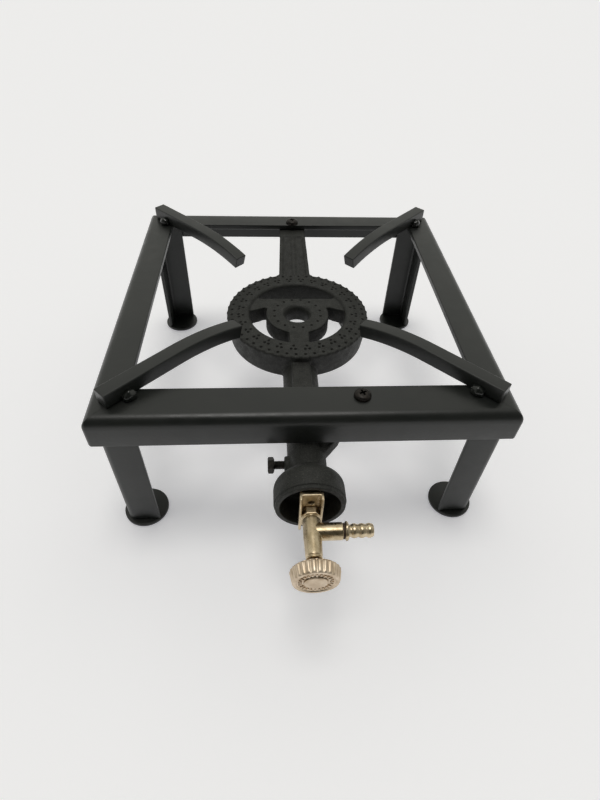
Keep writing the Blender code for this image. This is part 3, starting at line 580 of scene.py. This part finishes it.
def make_pot_supports():
    height = bar[1].z - BAR
    for i, corner in enumerate(CORNERS):
        turn = (0, 0, math.radians(225 + 90 * i))
        place = Vector((0, BAR_CENTRE_Y, height))
        for hand in (-1, 1):
            bead = moved(bead_mesh(i * 2 + hand), (BEAD_DISTANCE, hand * (BAR / 2 + 1.5 * MM), 1.6 * MM))
            bmesh.ops.bisect_plane(
                bead,
                geom=bead.verts[:] + bead.edges[:] + bead.faces[:],
                plane_co=(0, 0, 0),
                plane_no=(0, 0, -1),
                clear_outer=True,
            )
            bmesh.ops.holes_fill(bead, edges=[edge for edge in bead.edges if edge.is_boundary])
            bead = made_object(f"{corner}_weld_bead_{(hand + 1) // 2}", bead)
            extra(bead, f"{corner}_pot_support", BEAD_PAINT, place, turn)
        stand_in(f"{corner}_pot_support", bar_mesh(), PAINT, place, turn, edge=0.6 * MM)


# ---------------------------------------------------------------- burner casting


def ring_profile():
    """The flame ring's outside, crowned towards its inner edge."""
    return filleted(
        [
            (RING_INNER, RING_LOW),
            (RING_OUTER_LOW, RING_LOW),
            (RING_OUTER, RING_TOP - 0.8 * MM),
            (RING_OUTER - 1 * MM, RING_TOP),
            (RING_INNER + 6 * MM, RING_TOP + 1 * MM),
            (RING_INNER + 2 * MM, RING_TOP + 1 * MM),
            (RING_INNER, RING_TOP - 0.5 * MM),
        ],
        1.2 * MM,
    )


def burner_head():
    """Ring, hub with its straight rear edge, ears and bridge, in the burner's own place."""
    reach = RING_INNER + 2 * MM
    half = math.sqrt(HUB_RADIUS**2 - HUB_REAR**2)
    start = math.degrees(math.atan2(HUB_REAR, half))
    hub = extruded(arc((0, 0), HUB_RADIUS, start, start - 360 + (180 - 2 * start), 72), HUB_LOW, HUB_TOP)
    ears = box((-reach, EAR_FRONT, HUB_LOW + 0.4 * MM), (reach, HUB_REAR, HUB_TOP))
    bridge = box((-BRIDGE_WIDTH / 2, -reach, HUB_LOW), (BRIDGE_WIDTH / 2, -20 * MM, HUB_TOP))
    fillets = []
    half_slice = 1 * MM
    for side in (-1, 1):
        # The ears widen where they meet the ring.
        slices = []
        for x, front, rear, low in (
            (side * 30 * MM, EAR_FRONT, HUB_REAR, HUB_LOW + 0.4 * MM),
            (side * 42 * MM, EAR_FRONT - 5 * MM, HUB_REAR + 1 * MM, HUB_LOW),
        ):
            slices.append(box((x - half_slice, front, low), (x + half_slice, rear, HUB_TOP)))
        fillets.append(hull(*slices))
    rim = []
    rim_ports, rim_radius = PORT_ROWS[0][1], RING_OUTER - 1.5 * MM
    for i in range(rim_ports):
        angle = 2 * math.pi * i / rim_ports
        knuckle = bmesh.new()
        bmesh.ops.create_icosphere(knuckle, subdivisions=2, radius=1.9 * MM)
        place = (rim_radius * math.cos(angle), rim_radius * math.sin(angle), RING_TOP - 0.8 * MM)
        rim.append(moved(knuckle, place))
    ring = turned(ring_profile(), 160, ring=True)
    return moved(merged(ring, hub, ears, bridge, *fillets, *rim), (0, BURNER_Y, 0))


def mixing_tube():
    """The tapered tube with the flat strip along its top."""
    tube = turned(
        [
            (0, TUBE_START),
            (TUBE_ROOT_RADIUS, TUBE_START),
            (TUBE_ROOT_RADIUS, 74 * MM),
            (TUBE_RADIUS, 110 * MM),
            (TUBE_RADIUS, THROAT_START + 6 * MM),
            (0, THROAT_START + 6 * MM),
        ],
        96,
    )
    strip = hull(
        box((-7.4 * MM, 9 * MM, 56 * MM), (7.4 * MM, 15.4 * MM, 57 * MM)),
        box((-7.2 * MM, 9 * MM, 134 * MM), (7.2 * MM, 13.4 * MM, 135 * MM)),
    )
    return moved(merged(tube, strip), (0, 0, AXIS_Z), FORWARD)


def front_lug():
    """The pad under the front rail, and the web that ties it to the tube."""
    low, edge = ARM_TOP - ARM_THICKNESS, FRONT_SCREW_X - 6.5 * MM
    pad = box(
        (edge - 3 * MM, -SCREW_Y - 9 * MM, low),
        (FRONT_SCREW_X + 8.5 * MM, -SCREW_Y + 7 * MM, ARM_TOP),
    )
    inset = 0.2 * MM
    top = (
        (edge - 5 * MM, -SCREW_Y - 8.8 * MM, low + inset),
        (edge, -SCREW_Y + 6.8 * MM, ARM_TOP - inset),
    )
    middle = (20 * MM, -SCREW_Y - 15 * MM, 91 * MM), (22 * MM, -SCREW_Y + 5 * MM, 100.5 * MM)
    root = (
        (6 * MM, -SCREW_Y - 25 * MM, AXIS_Z - 5 * MM),
        (9 * MM, -SCREW_Y + 2 * MM, AXIS_Z + 6 * MM),
    )
    return merged(pad, hull(box(*top), box(*middle)), hull(box(*middle), box(*root)))


def rear_arm():
    """The arm up to the back rail, with a rib along each edge."""
    ring_end, pad_start, pad_end = 49 * MM, 108 * MM, SCREW_Y + 11 * MM
    low = RING_TOP - 1 * MM

    def slab(start, end, rise, half_start, half_end, thick):
        corners = []
        for y, z, half in ((start, low + rise, half_start), (end, ARM_TOP + rise, half_end)):
            corners.append(box((-half, y, z - thick), (half, y + 0.5 * MM, z)))
        return hull(*corners)

    plate = slab(ring_end, pad_start, -0.8 * MM, 14.8 * MM, 12.6 * MM, ARM_THICKNESS - 0.8 * MM)
    ribs = []
    inner, outer = 11.4 * MM, 14.8 * MM
    for side in (-1, 1):
        near = box(
            (side * inner, ring_end, low - 4 * MM),
            (side * outer, ring_end + 0.5 * MM, low + 0.5 * MM),
        )
        far = box(
            (side * (inner - 1.8 * MM), pad_start, ARM_TOP - 4 * MM),
            (side * (outer - 2.2 * MM), pad_start + 0.5 * MM, ARM_TOP),
        )
        ribs.append(hull(near, far))
    spine = hull(
        box((-1.6 * MM, ring_end, low - 3 * MM), (1.6 * MM, ring_end + 0.5 * MM, low + 0.2 * MM)),
        box((-1.6 * MM, pad_start, ARM_TOP - 3 * MM), (1.6 * MM, pad_start + 0.5 * MM, ARM_TOP)),
    )
    pad = box((-12.6 * MM, pad_start - 1 * MM, ARM_TOP - ARM_THICKNESS), (12.6 * MM, pad_end, ARM_TOP))
    return merged(plate, *ribs, spine, pad)


def bell():
    """The air bell: a rounded shoulder, a stepped lip and the bore with its cone."""
    shoulder = arc(
        (TUBE_RADIUS + 1 * MM, BELL_START + 13 * MM), BELL_RADIUS - TUBE_RADIUS - 1 * MM, -75, 0, 14
    )
    outside = [
        (TUBE_RADIUS - 0.4 * MM, BELL_START - 1 * MM),
        *shoulder,
        *filleted(
            [
                (BELL_RADIUS, BELL_START + 16 * MM),
                (BELL_RADIUS, BELL_MOUTH - 2.8 * MM),
                (BELL_LIP_RADIUS + 0.4 * MM, BELL_MOUTH - 2.4 * MM),
                (BELL_LIP_RADIUS + 0.4 * MM, BELL_MOUTH),
                (BELL_BORE, BELL_MOUTH),
                (BELL_BORE, THROAT_END),
            ],
            0.5 * MM,
            closed=False,
            steps=3,
        ),
        (TUBE_BORE, THROAT_START),
        (TUBE_BORE, BELL_START - 1 * MM),
    ]
    return moved(turned(outside, 160, ring=True), (0, 0, AXIS_Z), FORWARD)


def port_pins():
    """Straight cutters for every flame port."""
    pins = []
    for distance, groups, ports in PORT_ROWS:
        for i in range(groups * len(ports)):
            degrees = 360 * (i // len(ports) + 0.5) / groups + ports[i % len(ports)]
            spin = Matrix.Rotation(math.radians(degrees), 4, "Z")
            pin = rod(PORT_RADIUS, RING_TOP - 7 * MM, RING_TOP + 5 * MM, 16)
            place = spin @ Matrix.Translation((distance * MM, 0, 0))
            bmesh.ops.transform(pin, matrix=place, verts=pin.verts)
            pins.append(pin)
    return moved(merged(*pins), (0, BURNER_Y, 0))


def make_casting():
    boss = moved(rod(6.6 * MM, 9 * MM, 15.6 * MM, 48, 5.8 * MM), (0, -CLAMP_Y, AXIS_Z), LEFTWARD)
    casting = made_object("casting", merged(burner_head(), mixing_tube(), front_lug(), rear_arm(), boss))
    remeshed(casting, 0.7 * MM, 5)
    passage = [(0, 60 * MM), (TUBE_BORE, 60 * MM), (TUBE_BORE, BELL_MOUTH), (0, BELL_MOUTH)]
    boolean(casting, moved(turned(passage, 64), (0, 0, AXIS_Z), FORWARD), "DIFFERENCE")
    boolean(casting, bell(), "UNION")
    hole = [(0, HUB_LOW - 3 * MM), (HUB_HOLE, HUB_LOW - 3 * MM), (HUB_HOLE, HUB_TOP - 2.6 * MM)]
    hole += [(HUB_HOLE + 2.8 * MM, HUB_TOP + 0.4 * MM), (0, HUB_TOP + 0.4 * MM)]
    boolean(casting, moved(turned(hole, 96), (0, BURNER_Y, 0)), "DIFFERENCE")
    boolean(casting, port_pins(), "DIFFERENCE")
    stand_in("burner_casting", casting, IRON)


# ---------------------------------------------------------------- fasteners


def hexagon(across_flats, low, high, hole=0.0, chamfer=0.6 * MM):
    """A hexagonal prism along Z with the turned chamfer that nuts and bolt heads have."""
    radius = across_flats / math.sqrt(3)
    outline = arc((0, 0), radius, 0, 300, 5)
    body = made_object("hexagon", extruded(outline, low, high))
    face = across_flats / 2 * 0.97
    drop = (radius - face) * 0.55 + chamfer * 0.2
    limit = [(0, low), (face, low), (radius, low + drop), (radius + 0.1 * MM, (low + high) / 2)]
    limit += [(radius, high - drop), (face, high), (0, high)]
    boolean(body, turned(limit, 96), "INTERSECT")
    if hole:
        boolean(body, rod(hole, low - 1 * MM, high + 1 * MM, 48), "DIFFERENCE")
    return body


def pan_head_screw(head_low, tip):
    """An M6 pan head screw along Z, with its Phillips recess and thread."""
    dome = []
    for across, up in arc((0, 0), 1, 90, 0, 14):
        height = PAN_HEAD_HEIGHT * max(up, 0) ** 0.6
        dome.append((PAN_HEAD_RADIUS * max(across, 0) ** 0.75, head_low + height))
    shank_low = head_low - 6 * MM
    profile = [*dome, (M6_RADIUS, head_low), (M6_RADIUS, shank_low), (0, shank_low)]
    screw = made_object("screw", turned(profile, 96))
    slots = []
    for turn in (0, math.pi / 2):
        levels = []
        for reach, width, low in ((1.4 * MM, 0.45 * MM, 0.8 * MM), (2.9 * MM, 0.75 * MM, 4 * MM)):
            base = head_low + low
            levels.append(box((-reach, -width, base), (reach, width, base + 0.2 * MM)))
        slots.append(moved(hull(*levels), rotation=(0, 0, turn)))
    for slot in slots:
        boolean(screw, slot, "DIFFERENCE")
    boolean(screw, threaded(M6_RADIUS, tip, head_low - 4 * MM), "UNION")
    return screw


def washer_section(hole, outside, low, high):
    """A washer's section, with its corners broken."""
    return filleted([(hole, low), (outside, low), (outside, high), (hole, high)], 0.2 * MM)


def make_frame_screws():
    for prefix, x, y in (("front", FRONT_SCREW_X, -SCREW_Y), ("rear", 0, SCREW_Y)):
        place = (x, y, 0)
        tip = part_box(f"{prefix}_screw")[0].z
        screw = pan_head_screw(RAIL_TOP + 0.05 * MM, tip)
        stand_in(f"{prefix}_screw", screw, STEEL, place, (0, 0, 0.4), edge=0.12 * MM)
        low, high = (corner.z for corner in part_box(f"{prefix}_washer"))
        ring = washer_section(3.3 * MM, 6.2 * MM, low, high)
        stand_in(f"{prefix}_washer", turned(ring, 64, ring=True), STEEL, place)
        low, high = (corner.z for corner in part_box(f"{prefix}_nut"))
        stand_in(f"{prefix}_nut", hexagon(10 * MM, low, high, hole=2.9 * MM), STEEL, place)


def make_clamp_bolt():
    place = (0, -CLAMP_Y, AXIS_Z)
    low, high = (-corner.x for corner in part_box("clamp_bolt")[::-1])
    head = 4.2 * MM
    bolt = hexagon(10 * MM, high - head, high)
    collar = rod(4.4 * MM, high - head - 0.3 * MM, high - head + 0.5 * MM, 64)
    boolean(bolt, collar, "UNION")
    boolean(bolt, threaded(M6_RADIUS, low, high - head + 0.5 * MM), "UNION")
    stand_in("clamp_bolt", bolt, STEEL, place, LEFTWARD, edge=0.12 * MM)


# ---------------------------------------------------------------- brass valve


def make_yoke():
    """The spigot, the two arms and the channel strap, melted into one casting."""
    low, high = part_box("valve_yoke")
    front, back = CENTRE_Y - low.y, CENTRE_Y - high.y
    half, tall = 7.5 * MM, (high.z - low.z) / 2
    web_back, web_front, flange = front - 5.8 * MM, front - 3.4 * MM, 1.7 * MM
    strap = [box((-half, -web_front, -tall), (half, -web_back, tall))]
    for side in (-1, 1):
        xs = sorted((side * half, side * (half - flange)))
        strap.append(box((xs[0], -front, -tall), (xs[1], -web_back, tall)))
        rear, fore = side * 7.0 * MM, side * 15.4 * MM
        arm_half, arm_thick = 5.5 * MM, 1.2 * MM
        ends = (
            box(
                (-arm_half, -164.6 * MM, rear - arm_thick),
                (arm_half, -163.6 * MM, rear + arm_thick),
            ),
            box(
                (-arm_half, -web_back - 0.6 * MM, fore - arm_thick),
                (arm_half, -web_back + 1.4 * MM, fore + arm_thick),
            ),
        )
        strap.append(hull(*ends))
    inside, outside, end = 7 * MM, 9.2 * MM, 165 * MM
    spigot = turned([(inside, back), (outside, back), (outside, end), (inside, end)], 64, ring=True)
    yoke = made_object("yoke", merged(*strap, moved(spigot, rotation=FORWARD)))
    remeshed(yoke, 0.28 * MM, 3)
    boolean(yoke, moved(rod(3.4 * MM, 180 * MM, 195 * MM, 48), rotation=FORWARD), "DIFFERENCE")
    sight_hole = moved(rod(2.3 * MM, 180 * MM, 195 * MM, 48), (0, 0, 9 * MM), FORWARD)
    boolean(yoke, sight_hole, "DIFFERENCE")
    stand_in("valve_yoke", yoke, BRASS, (0, 0, AXIS_Z))


def make_jet():
    low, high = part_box("gas_jet")
    front, back = CENTRE_Y - low.y, CENTRE_Y - high.y
    jet = hexagon(9 * MM, front - 8 * MM, front)
    nozzle = filleted(
        [
            (0, back),
            (1.6 * MM, back),
            (2.6 * MM, back + 4 * MM),
            (3.6 * MM, front - 7 * MM),
            (0, front - 7 * MM),
        ],
        0.3 * MM,
        closed=False,
    )
    boolean(jet, turned(nozzle, 48), "UNION")
    boolean(jet, rod(0.5 * MM, back - 1 * MM, front - 2 * MM, 16), "DIFFERENCE")
    boolean(jet, rod(3.4 * MM, front - 5 * MM, front + 1 * MM, 32), "DIFFERENCE")
    stand_in("gas_jet", jet, BRASS, (0, 0, AXIS_Z), FORWARD)


def make_valve_body():
    """The barrel with its nose and collar, and the side boss, softened where they meet."""
    low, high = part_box("valve_body")
    front, back = CENTRE_Y - low.y, CENTRE_Y - high.y
    inlet_end = high.x
    barrel = turned(
        filleted(
            [
                (0, back),
                (3.2 * MM, back),
                (3.2 * MM, 190 * MM),
                (4.4 * MM, 190.2 * MM),
                (4.4 * MM, 194.4 * MM),
                (5.7 * MM, 195 * MM),
                (5.7 * MM, 207 * MM),
                (5.2 * MM, 219.4 * MM),
                (4.7 * MM, 219.6 * MM),
                (4.7 * MM, 220.4 * MM),
                (5.2 * MM, 220.6 * MM),
                (5.2 * MM, front),
                (0, front),
            ],
            0.5 * MM,
            closed=False,
        ),
        96,
    )
    collar = extruded(arc((0, 0), 6.2 * MM, 0, 300, 5), 188.3 * MM, 193 * MM)
    barrel = moved(merged(barrel, collar), rotation=FORWARD)
    start, radius = 0.5 * MM, 5.5 * MM
    boss = [(0, start), (radius, start), (radius, inlet_end), (0, inlet_end)]
    boss = turned(filleted(boss, 0.5 * MM, closed=False), 96)
    boss = moved(boss, (0, -INLET_Y, 0), RIGHTWARD)
    body = made_object("valve_body", merged(barrel, boss))
    remeshed(body, 0.25 * MM, 4)
    boolean(body, moved(rod(3.6 * MM, 211.7 * MM, front + 2 * MM, 48), rotation=FORWARD), "DIFFERENCE")
    stand_in("valve_body", body, BRASS, (0, 0, AXIS_Z))


def make_hose_tail():
    """Three soft barbs, a hexagonal collar and the bore."""
    place = (0, -INLET_Y, AXIS_Z)
    low, end = tail_box[0].x, tail_box[1].x
    washer_low, washer_high = (corner.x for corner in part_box("hose_tail_washer"))
    collar_low = washer_high + GAP
    collar_high = collar_low + 2.2 * MM
    pitch = (end - collar_high - 1.5 * MM) / 3
    outside = [(3.2 * MM, low), (3.2 * MM, collar_low + 0.5 * MM), (3.6 * MM, collar_low + 0.5 * MM)]
    for i in range(3):
        start = collar_high + 1.5 * MM + i * pitch
        outside += [(3.9 * MM, start), (4.5 * MM, start + 0.28 * pitch), (4.6 * MM, start + 0.5 * pitch)]
        outside += [(3.9 * MM, start + 0.95 * pitch)]
    outside += [(3.2 * MM, end), (2.2 * MM, end), (2.2 * MM, low)]
    tail = made_object("hose_tail", turned(filleted(outside, 0.5 * MM, steps=5), 96, ring=True))
    boolean(tail, hexagon_mesh(10.4 * MM, collar_low, collar_high, 2.2 * MM), "UNION")
    stand_in("hose_tail", tail, BRASS, place, RIGHTWARD)
    ring = washer_section(3.4 * MM, 5 * MM, washer_low, washer_high)
    stand_in("hose_tail_washer", turned(ring, 64, ring=True), FIBRE, place, RIGHTWARD)


def hexagon_mesh(*sizes):
    """hexagon() as a bmesh."""
    body = hexagon(*sizes)
    mesh = bmesh.new()
    mesh.from_mesh(body.data)
    bpy.data.objects.remove(body)
    return mesh


def make_spindle():
    place = (0, 0, AXIS_Z)
    low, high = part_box("needle_spindle")
    front, back = CENTRE_Y - low.y, CENTRE_Y - high.y
    stem = 1.9 * MM
    needle = [(0, back), (0.5 * MM, back), (1.5 * MM, back + 3.4 * MM)]
    spindle = [*needle, (stem, back + 6 * MM), (stem, front), (0, front)]
    stand_in("needle_spindle", turned(spindle, 48), BRASS, place, FORWARD)
    low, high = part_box("gland_nut")
    front, back = CENTRE_Y - low.y, CENTRE_Y - high.y
    hole, outside, end = 2.1 * MM, 3.3 * MM, front - 3 * MM
    gland = hexagon(8 * MM, front - 3.7 * MM, front, hole=hole)
    sleeve = turned([(hole, back), (outside, back), (outside, end), (hole, end)], 48, ring=True)
    boolean(gland, sleeve, "UNION")
    stand_in("gland_nut", gland, BRASS, place, FORWARD)
    low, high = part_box("stem_o_ring")
    middle = CENTRE_Y - (low.y + high.y) / 2
    section = arc((2.7 * MM, middle), 0.55 * MM, 0, 330, 11)
    stand_in("stem_o_ring", turned(section, 48, ring=True), RUBBER, place, FORWARD)


def make_knob():
    """The fluted knob, the ring of generic ticks on its face and the raised middle."""
    place = (0, 0, AXIS_Z)
    front, back = CENTRE_Y - knob_box[0].y, CENTRE_Y - knob_box[1].y
    radius, face = (knob_box[1].x - knob_box[0].x) / 2, 13.6 * MM
    profile = [(0, back), (radius - 1.6 * MM, back), (radius, back + 1.2 * MM), (radius, back + 2.2 * MM)]
    profile += [(face + 0.5 * MM, front - 1.2 * MM), (face, front - 0.2 * MM)]
    profile += [(face - 1.8 * MM, front), (face - 2.3 * MM, front - 0.8 * MM), (7.4 * MM, front - 0.8 * MM)]
    profile += [(7.2 * MM, front - 1 * MM), (0, front - 1 * MM)]
    profile = filleted(profile, 0.6 * MM, closed=False, steps=5)
    # Only the rim is fluted: deepest low on the side, and running out before the face.
    rim = {i for i, (r, z) in enumerate(profile) if r > face - 0.2 * MM and z > back + 0.1 * MM}

    def flute(index, r, height, angle):
        if index not in rim:
            return r
        share = (height - back) / (front - back)
        depth = 1.15 * MM * (1 - share) ** 0.5
        return r - depth * (0.5 - 0.5 * math.cos(KNOB_FLUTES * angle)) ** 1.6

    knob = made_object("knob", turned(profile, KNOB_FLUTES * 14, shape=flute))
    boolean(knob, rod(2.2 * MM, back - 1 * MM, front - 2.4 * MM, 48), "DIFFERENCE")
    stand_in("knob", knob, NICKEL, place, FORWARD)

    under = CENTRE_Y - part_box("knob_screw")[1].y
    cap = [(0, under), (6.9 * MM, under), (6.8 * MM, front - 0.1 * MM), (6.2 * MM, front + 0.3 * MM)]
    cap += [(3.4 * MM, front + 0.45 * MM), (0, front + 0.45 * MM)]
    stand_in("knob_screw", turned(filleted(cap, 0.4 * MM, closed=False), 96), NICKEL, place, FORWARD)

    ticks = []
    for i in range(DIAL_TICKS):
        start = 8.0 * MM + 0.5 * MM * (i % 2)
        tick = box((start, -0.5 * MM, front - 1.2 * MM), (10.4 * MM, 0.5 * MM, front - 0.1 * MM))
        ticks.append(moved(tick, rotation=(0, 0, 2 * math.pi * i / DIAL_TICKS)))
    dial = soften(made_object("knob_dial_ticks", merged(*ticks)), 0.12 * MM)
    extra(dial, "knob", NICKEL, place, FORWARD)


# ---------------------------------------------------------------- camera, floor and light

CAMERA_PLACE = (-24.9 * MM, -356.4 * MM, 361.4 * MM)  # from the frame's centre on the floor
CAMERA_PITCH, CAMERA_YAW, CAMERA_ROLL = 45.69, 4.99, -2.79  # degrees, pitch downwards
CAMERA_LENS = 22.27
FLOOR_COLOUR = 0.93
FLOOR_GLOW = 0.24  # the floor is a lit table, so the background stays even
WORLD_STRENGTH = 0.9
SUN_STRENGTH = 0.85


def make_camera():
    data = bpy.data.cameras.new("photo_camera")
    data.lens, data.sensor_width = CAMERA_LENS, 36
    data.clip_start, data.clip_end = 0.01, 50
    camera = bpy.data.objects.new("photo_camera", data)
    turn = Matrix.Rotation(math.radians(-CAMERA_YAW), 4, "Z")
    turn = turn @ Matrix.Rotation(math.radians(90 - CAMERA_PITCH), 4, "X")
    turn = turn @ Matrix.Rotation(math.radians(-CAMERA_ROLL), 4, "Z")
    camera.matrix_world = Matrix.Translation(Vector(CAMERA_PLACE) + Vector((0, CENTRE_Y, 0))) @ turn
    bpy.context.scene.collection.objects.link(camera)
    bpy.context.scene.camera = camera


def make_floor():
    mesh = bmesh.new()
    bmesh.ops.create_grid(mesh, x_segments=1, y_segments=1, size=20)
    floor = made_object("floor", mesh)
    floor.location.z = -0.05 * MM
    material, tree, shader, where = new_material("pale_floor", 0.0, Specular_IOR_Level=0.1)
    colour = ramp(tree, grain(tree, where, 0.6, 2), (0.3, FLOOR_COLOUR), (0.7, FLOOR_COLOUR + 0.004))
    tree.links.new(colour, shader.inputs["Base Color"])
    shader.inputs["Roughness"].default_value = 0.9
    shader.inputs["Emission Color"].default_value = (0.985, 0.985, 1.07, 1)
    shader.inputs["Emission Strength"].default_value = FLOOR_GLOW
    floor.data.materials.append(material)


def make_light():
    """A pale studio: even light all round, dark behind the camera, and soft light from overhead."""
    world = bpy.data.worlds.new("studio")
    bpy.context.scene.world = world
    world.use_nodes = True
    tree = world.node_tree
    direction = node(tree, "TexCoord").outputs["Generated"]
    behind_camera = node(
        tree, "VectorMath", {0: direction, 1: Vector((0, -0.7, 0.7))}, operation="DOT_PRODUCT"
    ).outputs["Value"]
    shade = ramp(tree, behind_camera, (0.0, 1.0), (0.5, 0.52), (0.95, 0.06))
    height = node(tree, "SeparateXYZ", {0: direction}).outputs["Z"]
    sky = ramp(tree, height, (0.2, (0.56, 0.56, 0.52)), (0.85, (1.0, 1.0, 0.93)))
    both = node(tree, "Mix", {"Factor": 1.0, 6: shade, 7: sky}, data_type="RGBA", blend_type="MULTIPLY")
    background = tree.nodes["Background"]
    tree.links.new(both.outputs[2], background.inputs["Color"])
    background.inputs["Strength"].default_value = WORLD_STRENGTH
    data = bpy.data.lights.new("overhead_softbox", "SUN")
    data.energy, data.angle, data.color = SUN_STRENGTH, math.radians(26), (1.0, 0.98, 0.95)
    sun = bpy.data.objects.new("overhead_softbox", data)
    sun.rotation_euler = Vector((-0.03, 0.03, 1.0)).to_track_quat("Z", "Y").to_euler()
    bpy.context.scene.collection.objects.link(sun)
    bpy.context.scene.view_settings.view_transform = "Standard"


make_camera()
make_floor()
make_light()
make_frame()
make_legs()
make_pot_supports()
make_casting()
make_frame_screws()
make_clamp_bolt()
make_yoke()
make_jet()
make_valve_body()
make_hose_tail()
make_spindle()
make_knob()
